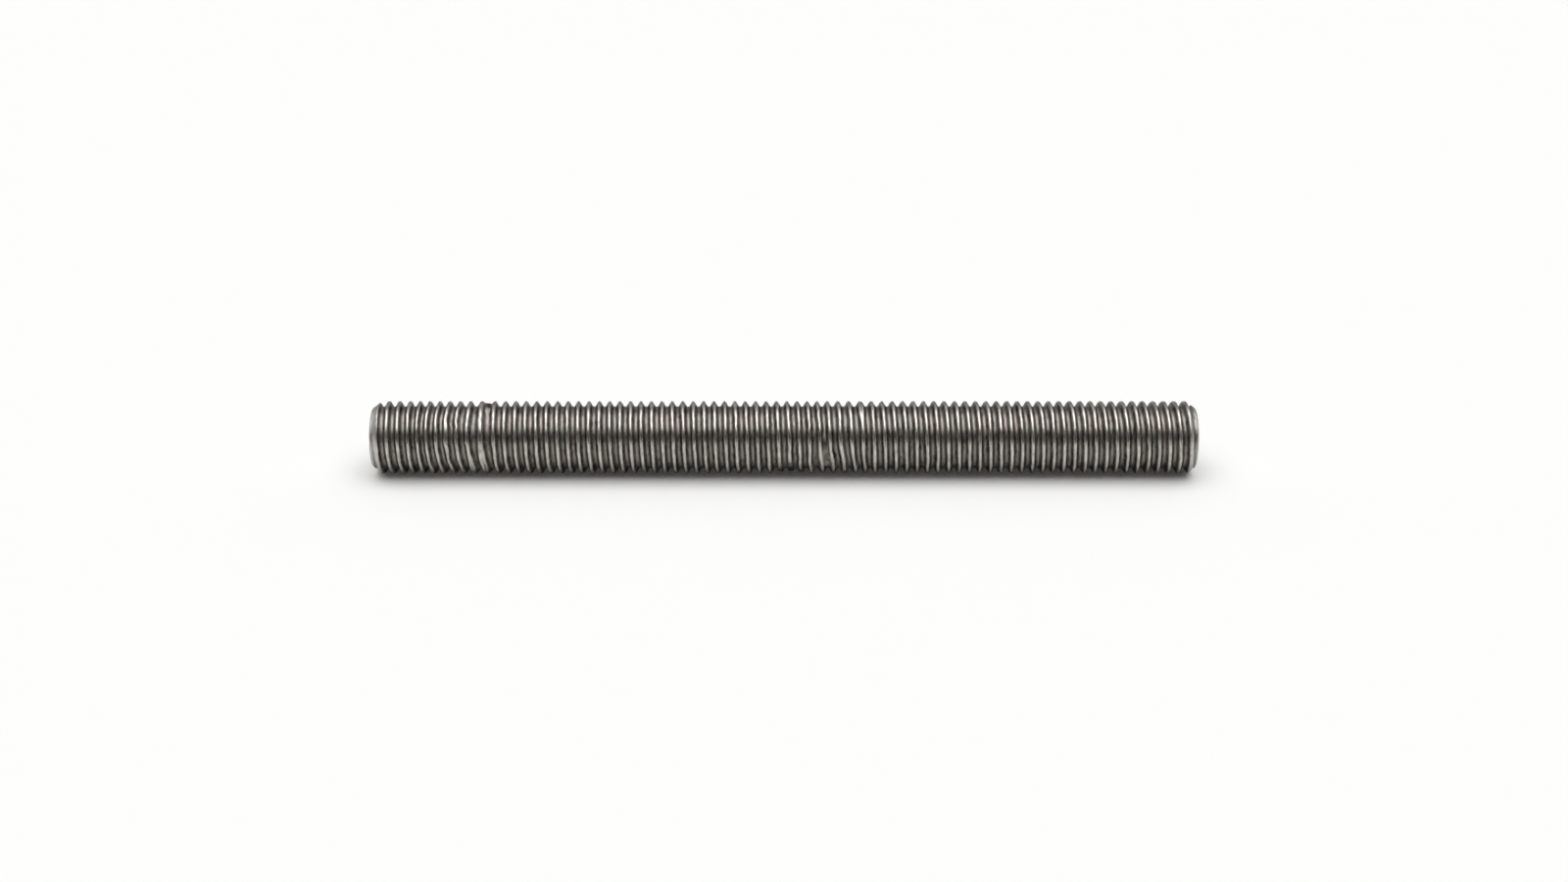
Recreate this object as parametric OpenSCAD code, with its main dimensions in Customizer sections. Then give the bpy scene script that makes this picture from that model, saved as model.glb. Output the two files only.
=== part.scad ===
// Threaded rod: one piece of plain steel bar with a coarse metric right-hand thread
// along its whole length and a turned chamfer on each cut end.
//
// Frame: millimetres, +Z up. The rod lies along X, as it rests on a bench.
// The origin is on the bench, under the middle of the rod.
// The thread is one helical surface with its round form taken in equal steps, and
// it rests on a flat step. The end faces and chamfers are true flats and true cones.

/* [Rod] */

// Length over the two flat end faces
rod_length = 157.5; // [60:0.5:200]

/* [Thread] */

// Major diameter, over the crests
thread_d = 14; // [12:0.5:18]

// Pitch, from one crest to the next
pitch = 2; // [1.5:0.25:2.5]

// Depth from crest to root
thread_depth = 1.08; // [0.8:0.02:1.2]

// Width of the flat on top of the crest
crest_flat = 0.35; // [0.1:0.01:0.4]

// Full angle between the two flanks of the groove, in degrees
flank_angle = 60; // [50:1:60]

/* [Ends] */

// How much the chamfer takes off the radius at each end face
chamfer_depth = 1.35; // [0.4:0.05:2]

// How far the chamfer reaches along the rod
chamfer_length = 1.8; // [0.4:0.1:3]

/* [Hidden] */

// A fine pitch has no room for the full depth: the root keeps some flat between the flanks.
least_root_flat = 0.1;
deepest = (pitch - crest_flat - least_root_flat) / (2 * tan(flank_angle / 2));
cut_depth = min(thread_depth, deepest);

crest_r = thread_d / 2;
root_r = crest_r - cut_depth;
end_r = crest_r - chamfer_depth;

// One pitch of the profile along the rod: crest flat, flank, root flat, flank.
flank_run = cut_depth * tan(flank_angle / 2);
profile = [
    [0, crest_r],
    [crest_flat, crest_r],
    [crest_flat + flank_run, root_r],
    [pitch - flank_run, root_r],
];

// The helix starts one pitch outside the rod and ends outside it too, so that each end
// face cuts full thread.
overrun = pitch;
turns = ceil(rod_length / pitch) + 1;

// Steps round one turn: a long or fine thread takes fewer, which keeps the solid light.
most_steps = 18;
most_triangles = 12000;
turn_steps = min(most_steps, floor(most_triangles / (2 * len(profile) * turns)));
step_angle = 360 / turn_steps;

// The lowest step of the round is flat on the bench.
axis_height = crest_r * cos(step_angle / 2);

// The blank that trims the ends stands clear of the crests, so only its cones cut.
blank_clearance = 1;
blank_r = crest_r + blank_clearance;
blank_chamfer = (chamfer_depth + blank_clearance) * chamfer_length / chamfer_depth;

steel = [0.46, 0.45, 0.44];

// Each column of points runs along the rod at one angle, and each starts a step later
// than the one before. After a full turn the rows of column 0 match again, a pitch on.
rows = turns * len(profile) + 1;

function thread_point(column, row) =
    let (
        corner = profile[row % len(profile)],
        whole_turns = floor(row / len(profile)),
        angle = -90 + (column + 0.5) * step_angle
    )
    [
        corner.x + (whole_turns + column / turn_steps) * pitch,
        corner.y * cos(angle),
        corner.y * sin(angle)
    ];

// The place of a point in the list. Column 0's last pitch comes after all the columns.
function place(column, row) =
    column < turn_steps && row < rows ? column * rows + row
    : column < turn_steps ? turn_steps * rows + row - rows
    : place(0, row + len(profile));

// The right-hand helix from x = 0, with a fan of faces to the axis closing each end.
module helical_thread() {
    last = rows - 1;
    lap = len(profile);
    points = concat(
        [for (c = [0 : turn_steps - 1], r = [0 : last]) thread_point(c, r)],
        [for (r = [rows : last + lap]) thread_point(0, r)],
        [[0, 0, 0], [(turns + 1) * pitch, 0, 0]]
    );
    left = len(points) - 2;
    right = len(points) - 1;
    sides = [
        for (c = [0 : turn_steps - 1], r = [0 : last - 1])
            let (a = place(c, r), b = place(c, r + 1), d = place(c + 1, r + 1), e = place(c + 1, r))
            each [[a, b, d], [a, d, e]]
    ];
    left_fan = [for (c = [0 : turn_steps - 1]) [left, place(c, 0), place(c + 1, 0)]];
    left_step = [for (r = [0 : lap - 1]) [left, place(0, r + 1), place(0, r)]];
    right_fan = [for (c = [0 : turn_steps - 1]) [right, place(c + 1, last), place(c, last)]];
    right_step = [for (r = [last : last + lap - 1]) [right, place(0, r), place(0, r + 1)]];
    polyhedron(points, concat(sides, left_fan, left_step, right_fan, right_step));
}

// A turned bar of the finished length, with the chamfer's cone at each end.
module turned_blank() {
    rotate([0, 90, 0])
        rotate_extrude($fn = 96)
            polygon([
                [0, 0],
                [end_r, 0],
                [blank_r, blank_chamfer],
                [blank_r, rod_length - blank_chamfer],
                [end_r, rod_length],
                [0, rod_length],
            ]);
}

module threaded_rod() color(steel)
    translate([-rod_length / 2, 0, axis_height])
        intersection() {
            translate([-overrun, 0, 0]) helical_thread();
            turned_blank();
        }

threaded_rod();
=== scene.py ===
import math

import bpy
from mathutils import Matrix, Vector


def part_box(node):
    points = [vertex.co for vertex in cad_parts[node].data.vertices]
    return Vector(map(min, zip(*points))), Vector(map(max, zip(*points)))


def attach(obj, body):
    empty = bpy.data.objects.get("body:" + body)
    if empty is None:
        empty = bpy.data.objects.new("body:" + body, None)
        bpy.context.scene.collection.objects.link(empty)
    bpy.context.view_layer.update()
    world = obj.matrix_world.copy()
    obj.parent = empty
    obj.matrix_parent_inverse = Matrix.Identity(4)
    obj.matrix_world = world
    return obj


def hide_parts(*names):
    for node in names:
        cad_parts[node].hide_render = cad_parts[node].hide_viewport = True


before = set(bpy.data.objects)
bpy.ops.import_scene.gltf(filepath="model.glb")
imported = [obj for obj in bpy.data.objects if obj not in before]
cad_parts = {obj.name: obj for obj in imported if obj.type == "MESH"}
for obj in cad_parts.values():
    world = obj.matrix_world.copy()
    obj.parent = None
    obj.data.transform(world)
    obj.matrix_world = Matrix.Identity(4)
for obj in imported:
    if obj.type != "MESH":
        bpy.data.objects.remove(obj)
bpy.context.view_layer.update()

# --- Camera -----------------------------------------------------------------------------
# The camera has a standard lens and stands square to the middle of the rod, a little above
# the bench. It looks just under the rod's axis.

low, high = (Vector(corner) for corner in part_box("threaded_rod"))
rod_length = high.x - low.x
rod_width = high.y - low.y
axis_height = (low.z + high.z) / 2
axis_middle = Vector(((low.x + high.x) / 2, (low.y + high.y) / 2, axis_height))

camera_distance = 0.46
camera_elevation = math.radians(24)
look_below_axis = 0.00072

camera_data = bpy.data.cameras.new("camera")
camera_data.lens = 55
camera_data.sensor_width = 36
camera_data.clip_start = 0.01
camera_data.clip_end = 100
camera = bpy.data.objects.new("camera", camera_data)
bpy.context.scene.collection.objects.link(camera)
to_camera = Vector((0, -math.cos(camera_elevation), math.sin(camera_elevation)))
camera_up = Vector((0, math.sin(camera_elevation), math.cos(camera_elevation)))
look_at = axis_middle - camera_up * look_below_axis
camera.location = look_at + to_camera * camera_distance
camera.rotation_euler = (math.pi / 2 - camera_elevation, 0, 0)
bpy.context.scene.camera = camera

# --- Threaded rod -----------------------------------------------------------------------
# One length of plain steel bar, its thread rolled in one pass from end to end, then cut
# square and chamfered. The crests are rubbed bright and blotches of dark old oil lie in the
# roots. The groove flanks are coloured dark as painted shade.

MM = 0.001
FLANK_SLOPE = 1 / math.tan(math.radians(30))
# The lead runs true at this turn round the rod, and is furthest out opposite it.
TRUE_TURN = math.radians(66)

chamfer_depth = 1.35 * MM
chamfer_length = 1.8 * MM

rod_sizes = {
    "Length": rod_length,
    "Crest radius": rod_width / 2,
    "Pitch": 2 * MM,
    "Thread depth": 1.08 * MM,
    "Crest flat": 0.32 * MM,
    "Crest worn": 0.055 * MM,
    "Crest crown": 0.6 / MM,
    "Crest rounding": 0.18 * MM,
    "Root rounding": 0.14 * MM,
    "First crest": 0.1 * MM,
    "Lead error": 0.08 * MM,
    "Wander": 0.06 * MM,
    "End radius": rod_width / 2 - chamfer_depth,
    "Chamfer slope": chamfer_depth / chamfer_length,
    "Edge rounding": 0.15 * MM,
    "Off centre": 0.12 * MM,
    "Axis height": axis_height,
}
rod_counts = {
    "Steps round": 60,
    "Rows in a pitch": 20,
}

# The rolling slipped along the rod here: from, to and by how much, in millimetres.
slips = [
    (-78.5, -72, 0.25),
    (-78.5, -60, -0.55),
    (-59, -55.5, 0.65),
    (0, 9, -0.3),
    (9, 18, 0.45),
]

# Damage. Each place is millimetres along the rod from its middle, degrees round it, where
# 90 is the top and 180 the front, and its reach in millimetres along and round. With each
# go the millimetres by which the thread is pushed along, shaken, widened at its crests and
# split there, filled in its groove, or flattened.
pushed = [((-63, 150, 9, 9), -0.4), ((10.5, 225, 7, 7), 0.45)]
shaken = [((-60, 180, 7, 12), 0.1), ((6, 180, 10, 12), 0.1)]
lapped = [((-57.6, 210, 2.2, 5), 0.22), ((-63.6, 150, 1.6, 5), 0.08), ((14.4, 95, 1.6, 5), 0.15)]
filled = [((7.7, 195, 2.4, 6), 0.6), ((-56.9, 80, 1.1, 4), 0.65), ((-57.4, 240, 3, 3), 0.3)]
flattened = [((0.8, 248, 4.5, 9), 0.62), ((9, 250, 7, 8), 0.3), ((-56, 85, 1.2, 3), 0.3)]


class Tree:
    """A node tree built one step at a time. Each call adds a node and returns its output."""

    def __init__(self, tree):
        self.tree = tree

    def add(self, kind, inputs=(), output=0, **settings):
        node = self.tree.nodes.new(kind)
        for name, value in settings.items():
            setattr(node, name, value)
        for key, value in dict(inputs).items():
            self.put(node.inputs[key], value)
        return node.outputs[output]

    def put(self, socket, value):
        if isinstance(value, bpy.types.NodeSocket):
            self.tree.links.new(value, socket)
        else:
            socket.default_value = value

    def math(self, operation, *values):
        return self.add("ShaderNodeMath", dict(enumerate(values)), operation=operation)

    def total(self, first, *others):
        for other in others:
            first = self.math("ADD", first, other)
        return first

    def product(self, first, *others):
        for other in others:
            first = self.math("MULTIPLY", first, other)
        return first

    def vector(self, operation, *values, output=0):
        inputs = dict(enumerate(values))
        return self.add("ShaderNodeVectorMath", inputs, output, operation=operation)

    def ramp(self, value, start, end, to_start=0.0, to_end=1.0):
        """to_start below the start, to_end past the end, and a smooth change between."""
        inputs = {"Value": value, "From Min": start, "From Max": end}
        inputs.update({"To Min": to_start, "To Max": to_end})
        return self.add("ShaderNodeMapRange", inputs, interpolation_type="SMOOTHSTEP")

    def noise(self, place, scale, detail=2.0, roughness=0.5):
        inputs = {"Vector": place, "Scale": scale, "Detail": detail, "Roughness": roughness}
        return self.add("ShaderNodeTexNoise", inputs)

    def swing(self, place, scale, detail=2.0):
        """Noise that swings from about -1 to 1."""
        return self.math("MULTIPLY_ADD", self.noise(place, scale, detail), 4, -2)

    def near(self, place, spot):
        """1 in the middle of a place on the rod, and nothing beyond its reach."""
        along, degrees, reach_along, reach_round = spot
        turn = math.radians(degrees)
        radius = rod_width / 2
        middle = (along * MM, radius * math.cos(turn), radius * math.sin(turn))
        reach = (reach_along * MM, reach_round * MM, reach_round * MM)
        away = self.vector("DIVIDE", self.vector("SUBTRACT", place, middle), reach)
        return self.ramp(self.vector("LENGTH", away, output=1), 1.0, 0.3)

    def damage(self, place, spots):
        """The sum of what each spot does to the thread at a place, in metres."""
        effects = [self.product(self.near(place, spot), size * MM) for spot, size in spots]
        return self.total(*effects)


def shift_along(t, given, x, angle, on_bar):
    """How far the thread lies from its true place along the rod."""
    slow_wave = 0.2 / MM
    quick_wave = 0.5 / MM
    lead = t.math("SUBTRACT", t.math("COSINE", t.math("SUBTRACT", angle, TRUE_TURN)), 1)
    slip = [t.ramp(x, start * MM, end * MM, 0, size * MM) for start, end, size in slips]
    shake = t.total(t.damage(on_bar, shaken), t.math("MULTIPLY", given["Wander"], 0.5))
    return t.total(
        t.product(lead, given["Lead error"]),
        t.product(t.swing(on_bar, slow_wave), given["Wander"]),
        t.product(t.swing(on_bar, quick_wave), shake),
        t.damage(on_bar, pushed),
        *slip,
    )


def thread_drop(t, given, wound, on_bar):
    """How far the surface lies under the crest line: crest, flank at 60 degrees and root."""
    from_crest = t.math("ABSOLUTE", t.math("SUBTRACT", wound, t.math("ROUND", wound)))
    from_crest = t.product(from_crest, given["Pitch"])
    lap = t.damage(on_bar, lapped)
    half_flat = t.total(t.product(given["Crest flat"], 0.5), lap)
    flank = t.product(t.math("SUBTRACT", from_crest, half_flat), FLANK_SLOPE)
    crown = t.total(t.product(from_crest, from_crest, given["Crest crown"]), given["Crest worn"])
    drop = t.math("SMOOTH_MAX", flank, crown, given["Crest rounding"])
    # A lap splits the crest along its middle.
    split_reach = 0.25 * MM
    split_bottom = 0.05 * MM
    drop = t.total(drop, t.product(lap, t.ramp(from_crest, split_reach, split_bottom)))

    ragged_scale = 1.2 / MM
    raggedness = 0.35
    ragged = t.math("MULTIPLY_ADD", t.swing(on_bar, ragged_scale), raggedness, 1)
    fill = t.product(t.damage(on_bar, filled), ragged)
    root = t.math("SUBTRACT", given["Thread depth"], fill)
    drop = t.math("SMOOTH_MIN", drop, root, given["Root rounding"])

    # Nicks take the highest part of a noise, and everywhere else lie clear of the crests.
    nick_scale = 0.7 / MM
    nick_depth = 0.16 * MM
    clear = -0.1 * MM
    nicks = t.ramp(t.noise(on_bar, nick_scale, 3), 0.62, 0.75, clear, nick_depth)
    flat = t.total(nicks, t.product(t.damage(on_bar, flattened), ragged))
    nick_rounding = 0.1 * MM
    return t.math("SMOOTH_MAX", drop, flat, nick_rounding)


def cut_ends(t, given, along, upward, thread):
    """The chamfers cut the thread down, and past each end the rows run in over the face.
    Returns the radius, how far the chamfer has cut, and whether the point is on the face."""
    inside = t.math("MINIMUM", along, t.math("SUBTRACT", given["Length"], along))
    right_end = t.math("GREATER_THAN", along, t.product(given["Length"], 0.5))
    off_centre = t.product(t.math("SUBTRACT", 1, upward), given["Off centre"], right_end)
    cone = t.math("MULTIPLY_ADD", inside, given["Chamfer slope"], given["End radius"])
    cone = t.total(cone, off_centre)
    run_in = 3.6
    face = t.math("MULTIPLY_ADD", inside, run_in, given["End radius"])
    burr_rounding = t.product(given["Edge rounding"], 0.4)
    radius = t.math("SMOOTH_MIN", thread, cone, burr_rounding)
    radius = t.math("SMOOTH_MIN", radius, face, given["Edge rounding"])
    tool_smear = 0.25 * MM
    cut = t.ramp(t.math("SUBTRACT", thread, cone), -tool_smear, 0)
    face_edge = 0.1 * MM
    on_face = t.ramp(inside, face_edge, -face_edge)
    return t.math("MAXIMUM", radius, 0), cut, on_face


def rod_nodes():
    """A grid is wound into the helix, and closes itself over the two end faces."""
    tree = bpy.data.node_groups.new("wound thread", "GeometryNodeTree")
    for name, value in rod_sizes.items():
        socket = tree.interface.new_socket(name, in_out="INPUT", socket_type="NodeSocketFloat")
        socket.default_value = value
    for name, value in rod_counts.items():
        socket = tree.interface.new_socket(name, in_out="INPUT", socket_type="NodeSocketInt")
        socket.default_value = value
    tree.interface.new_socket("Steel", in_out="INPUT", socket_type="NodeSocketMaterial")
    tree.interface.new_socket("Rod", in_out="OUTPUT", socket_type="NodeSocketGeometry")
    given = tree.nodes.new("NodeGroupInput").outputs
    made = tree.nodes.new("NodeGroupOutput").inputs
    t = Tree(tree)

    # A grid of rows along the rod and columns round it. Its first and last rows lie well
    # outside the faces, as the helix needs.
    spare_pitches = 4
    left_pitches = 2.5
    pitches = t.math("CEIL", t.math("DIVIDE", given["Length"], given["Pitch"]))
    rows = t.product(t.total(pitches, spare_pitches), given["Rows in a pitch"])
    points_round = t.total(given["Steps round"], 1)
    grid = t.add("GeometryNodeMeshGrid", {"Vertices X": rows, "Vertices Y": points_round})
    index = t.add("GeometryNodeInputIndex")
    row = t.math("FLOOR", t.math("DIVIDE", t.total(index, 0.5), points_round))
    column = t.math("SUBTRACT", index, t.product(row, points_round))
    turn = t.math("DIVIDE", column, given["Steps round"])

    # Rows crowd together on the crests and in the roots, where the profile bends.
    crowding = 0.4
    two_a_pitch = 4 * math.pi
    even = t.math("SUBTRACT", t.math("DIVIDE", row, given["Rows in a pitch"]), left_pitches)
    wave = t.math("SINE", t.product(even, two_a_pitch))
    wound = t.math("MULTIPLY_ADD", wave, -crowding / two_a_pitch, even)

    angle = t.math("MULTIPLY_ADD", turn, 2 * math.pi, -math.pi / 2)
    across = t.math("COSINE", angle)
    upward = t.math("SINE", angle)
    half_length = t.product(given["Length"], 0.5)
    along = t.math("MULTIPLY_ADD", t.total(wound, turn), given["Pitch"], given["First crest"])
    x = t.math("SUBTRACT", along, half_length)
    y = t.product(across, given["Crest radius"])
    z = t.product(upward, given["Crest radius"])
    on_bar = t.add("ShaderNodeCombineXYZ", {"X": x, "Y": y, "Z": z})

    shift = shift_along(t, given, x, angle, on_bar)
    x = t.total(x, shift)
    along = t.total(along, shift)
    drop = thread_drop(t, given, wound, on_bar)
    thread = t.math("SUBTRACT", given["Crest radius"], drop)
    radius, cut, on_face = cut_ends(t, given, along, upward, thread)
    x = t.math("SMOOTH_MAX", x, t.product(half_length, -1), given["Edge rounding"])
    x = t.math("SMOOTH_MIN", x, half_length, given["Edge rounding"])
    y = t.product(radius, across)
    z = t.math("MULTIPLY_ADD", radius, upward, given["Axis height"])
    place = t.add("ShaderNodeCombineXYZ", {"X": x, "Y": y, "Z": z})
    rod = t.add("GeometryNodeSetPosition", {"Geometry": grid, "Position": place})

    groove = t.math("DIVIDE", drop, given["Thread depth"])
    scuffs = [t.near(on_bar, spot) for spot, size in filled + flattened]
    scuffed = t.math("MINIMUM", t.total(*scuffs), 1)
    kept = {"groove": groove, "cut_end": cut, "end_face": on_face, "scuffed": scuffed}
    for name, value in kept.items():
        inputs = {"Geometry": rod, "Name": name, "Value": value}
        rod = t.add("GeometryNodeStoreNamedAttribute", inputs)
    seam_gap = 0.001 * MM
    rod = t.add("GeometryNodeMergeByDistance", {"Geometry": rod, "Distance": seam_gap})
    rod = t.add("GeometryNodeFlipFaces", {"Mesh": rod})
    rod = t.add("GeometryNodeSetShadeSmooth", {"Geometry": rod})
    rod = t.add("GeometryNodeRealizeInstances", {"Geometry": rod})
    rod = t.add("GeometryNodeSetMaterial", {"Geometry": rod, "Material": given["Steel"]})
    t.put(made["Rod"], rod)
    return tree


# The first two colours are painted shade: they darken the groove flanks to stand in for the shade
# there. The first also colours the blotches of old oil in the roots.
steel_colours = {
    "dark oil": (0.068, 0.064, 0.057, 1),
    "thin oil": (0.255, 0.242, 0.22, 1),
    "olive root": (0.285, 0.273, 0.242, 1),
    "pink root": (0.312, 0.274, 0.257, 1),
    "dull crest": (0.35, 0.333, 0.308, 1),
    "bright crest": (0.63, 0.6, 0.56, 1),
    "dull cut": (0.42, 0.41, 0.394, 1),
    "bright cut": (0.62, 0.607, 0.585, 1),
}

# Each mark is a noise: its stretch along, across and up, how often it repeats in a metre,
# its detail and its roughness.
steel_marks = {
    "rolling lines": ((9, 1, 1), 0.9 / MM, 3, 0.6),
    "saw marks": ((1, 0.12, 1), 2 / MM, 3, 0.6),
    "grain": ((1, 1, 1), 3.5 / MM, 3, 0.6),
    "oil blotches": ((1, 0.5, 0.5), 1.1 / MM, 3, 0.6),
    "root patches": ((1, 1, 1), 0.22 / MM, 2, 0.5),
    "crest wear": ((1, 0.4, 0.4), 0.35 / MM, 2, 0.5),
}


def mix_colours(t, factor, first, second):
    inputs = {0: factor, 6: steel_colours.get(first, first), 7: steel_colours.get(second, second)}
    return t.add("ShaderNodeMix", inputs, 2, data_type="RGBA")


def steel_mark(t, place, name):
    stretch, scale, detail, roughness = steel_marks[name]
    return t.noise(t.vector("MULTIPLY", place, stretch), scale, detail, roughness)


def bare_steel():
    material = bpy.data.materials.new("bare steel")
    material.use_nodes = True
    shader = material.node_tree.nodes["Principled BSDF"]
    t = Tree(material.node_tree)
    place = t.add("ShaderNodeTexCoord", output="Object")
    groove = t.add("ShaderNodeAttribute", output="Fac", attribute_name="groove")
    cut_end = t.add("ShaderNodeAttribute", output="Fac", attribute_name="cut_end")
    end_face = t.add("ShaderNodeAttribute", output="Fac", attribute_name="end_face")
    scuffed = t.add("ShaderNodeAttribute", output="Fac", attribute_name="scuffed")

    # Fine lines left by the rolling run round the thread, with a fine grain everywhere, and
    # blotches of old oil lie in the groove, where they also mottle the painted shade on the
    # flanks. The end faces have saw marks instead.
    lines = steel_mark(t, place, "rolling lines")
    saw_marks = steel_mark(t, place, "saw marks")
    cut_marks = t.total(lines, t.product(t.math("SUBTRACT", saw_marks, lines), end_face))
    grain = steel_mark(t, place, "grain")
    blotches = steel_mark(t, place, "oil blotches")
    patches = steel_mark(t, place, "root patches")
    worn = steel_mark(t, place, "crest wear")

    # How far down the groove a point counts as lying, with a worn and grainy edge to each band.
    depth = groove
    for mark, unevenness in ((worn, 0.25), (lines, 0.15), (grain, 0.12)):
        depth = t.math("MULTIPLY_ADD", t.math("SUBTRACT", mark, 0.5), unevenness, depth)
    crest_edge = (0.4, 0.14)
    root_edge = (0.6, 0.85)
    on_crest = t.ramp(depth, *crest_edge)
    in_root = t.ramp(depth, *root_edge)
    # Painted shade: the flanks take dark colours that stand in for the shade in the groove,
    # mottled by the oil blotches.
    flank = mix_colours(t, t.ramp(blotches, 0.3, 0.7), "dark oil", "thin oil")
    root = mix_colours(t, t.ramp(patches, 0.42, 0.58), "olive root", "pink root")
    most_oil = 0.8
    oiled = t.ramp(t.total(blotches, lines), 1.0, 0.75, 0, most_oil)
    root = mix_colours(t, oiled, root, "dark oil")
    colour = mix_colours(t, in_root, flank, root)
    rubbed = t.ramp(t.total(lines, blotches), 0.75, 1.25)
    crest = mix_colours(t, rubbed, "dull crest", "bright crest")
    colour = mix_colours(t, on_crest, colour, crest)
    cut_colour = mix_colours(t, t.ramp(cut_marks, 0.3, 0.7), "dull cut", "bright cut")
    colour = mix_colours(t, cut_end, colour, cut_colour)
    t.put(shader.inputs["Base Color"], colour)
    shader.inputs["Metallic"].default_value = 1
    shader.inputs["Anisotropic"].default_value = 0.6
    shader.inputs["Specular Tint"].default_value = (0.5, 0.5, 0.5, 1)
    t.put(shader.inputs["Tangent"], t.add("ShaderNodeCombineXYZ", {"X": 1.0}))

    flank_roughness = 0.38
    crest_roughness = 0.33
    rougher_root = 0.08
    rougher_blotch = 0.15
    rougher_cut = 0.08
    rough = t.ramp(on_crest, 0, 1, flank_roughness, crest_roughness)
    rough = t.total(rough, t.product(in_root, rougher_root))
    rough = t.math("MULTIPLY_ADD", t.math("SUBTRACT", blotches, 0.5), rougher_blotch, rough)
    rough = t.math("MULTIPLY_ADD", t.math("MAXIMUM", cut_end, scuffed), rougher_cut, rough)
    t.put(shader.inputs["Roughness"], rough)
    relief = t.total(
        lines,
        t.product(grain, 0.6),
        t.product(grain, scuffed),
        t.product(cut_marks, cut_end, 2),
    )
    relief_height = 0.008 * MM
    bump = t.add("ShaderNodeBump", {"Strength": 1.0, "Distance": relief_height, "Height": relief})
    t.put(shader.inputs["Normal"], bump)
    return material


holder = bpy.data.objects.new("rod_maker", bpy.data.meshes.new("rod_maker"))
bpy.context.scene.collection.objects.link(holder)
maker = holder.modifiers.new("wound thread", "NODES")
maker.node_group = rod_nodes()
steel = bare_steel()
for item in maker.node_group.interface.items_tree:
    if item.in_out == "INPUT" and item.name == "Steel":
        maker[item.identifier] = steel
    elif item.in_out == "INPUT":
        maker[item.identifier] = {**rod_sizes, **rod_counts}[item.name]
depsgraph = bpy.context.evaluated_depsgraph_get()
rod_mesh = bpy.data.meshes.new_from_object(holder.evaluated_get(depsgraph))
# The grid brings an empty first material with it.
rod_mesh.materials.pop(index=0)
bpy.data.objects.remove(holder)
rod = bpy.data.objects.new("wound_rod", rod_mesh)
bpy.context.scene.collection.objects.link(rod)
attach(rod, "root")
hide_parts("threaded_rod")

# --- Studio -----------------------------------------------------------------------------
# A white bench top that runs out of sight, and a dim room with one long softbox over the
# rod. The room is white only low down, over the edge of the bench.

floor_size = 30
floor_height = min(vertex.co.z for vertex in rod_mesh.vertices)
corners = [(-1, -1), (1, -1), (1, 1), (-1, 1)]
floor_points = [(x * floor_size, y * floor_size, floor_height) for x, y in corners]
floor_mesh = bpy.data.meshes.new("bench_top")
floor_mesh.from_pydata(floor_points, [], [(0, 1, 2, 3)])
floor = bpy.data.objects.new("bench_top", floor_mesh)
bpy.context.scene.collection.objects.link(floor)
white = bpy.data.materials.new("white bench")
white.use_nodes = True
bench_surface = white.node_tree.nodes["Principled BSDF"]
bench_surface.inputs["Base Color"].default_value = (0.816, 0.816, 0.8, 1)
bench_surface.inputs["Roughness"].default_value = 1
bench_surface.inputs["Specular IOR Level"].default_value = 0
bench_surface.inputs["Emission Color"].default_value = (1, 1, 1, 1)
bench_surface.inputs["Emission Strength"].default_value = 0.03
floor_mesh.materials.append(white)

world = bpy.data.worlds.new("studio")
bpy.context.scene.world = world
world.use_nodes = True
sky = Tree(world.node_tree)
direction = sky.add("ShaderNodeTexCoord", output="Generated")
split = world.node_tree.nodes.new("ShaderNodeSeparateXYZ")
world.node_tree.links.new(direction, split.inputs[0])
# The turn from the front horizon (0), over the top (90), to the back horizon (180).
towards_front = sky.math("MULTIPLY", split.outputs["Y"], -1)
over = sky.math("DEGREES", sky.math("ARCTAN2", split.outputs["Z"], towards_front))
sideways = sky.math("ABSOLUTE", split.outputs["X"])
softbox_front_edge = (42, 61)
softbox_back_edge = (134, 100)
softbox_end_edge = (0.75, 0.5)
back_wall_rise = (115, 140)
back_wall_foot = (180, 155)
side_wall_start = (0.3, 0.6)
side_wall_rise = (8, 40)
side_wall_top = (75, 50)
white_wall_top = (0.07, 0.05)
front_light = 0.06
back_light = 0.54
side_light = 0.16
softbox_light = 2.58
softbox = sky.product(
    sky.ramp(over, *softbox_front_edge),
    sky.ramp(over, *softbox_back_edge),
    sky.ramp(sideways, *softbox_end_edge),
    softbox_light,
)
back_wall = sky.product(
    sky.ramp(over, *back_wall_rise, front_light, back_light),
    sky.ramp(over, *back_wall_foot),
)
side_wall = sky.product(
    sky.ramp(sideways, *side_wall_start),
    sky.ramp(over, *side_wall_rise, 0, side_light),
    sky.ramp(over, *side_wall_top),
)
white_wall = sky.ramp(split.outputs["Z"], *white_wall_top)
room = sky.math("MAXIMUM", sky.math("MAXIMUM", back_wall, side_wall), white_wall)
strength = sky.total(room, softbox)
background = world.node_tree.nodes["Background"]
background.inputs["Color"].default_value = (1, 1, 1, 1)
world.node_tree.links.new(strength, background.inputs["Strength"])

bpy.context.scene.view_settings.view_transform = "Standard"
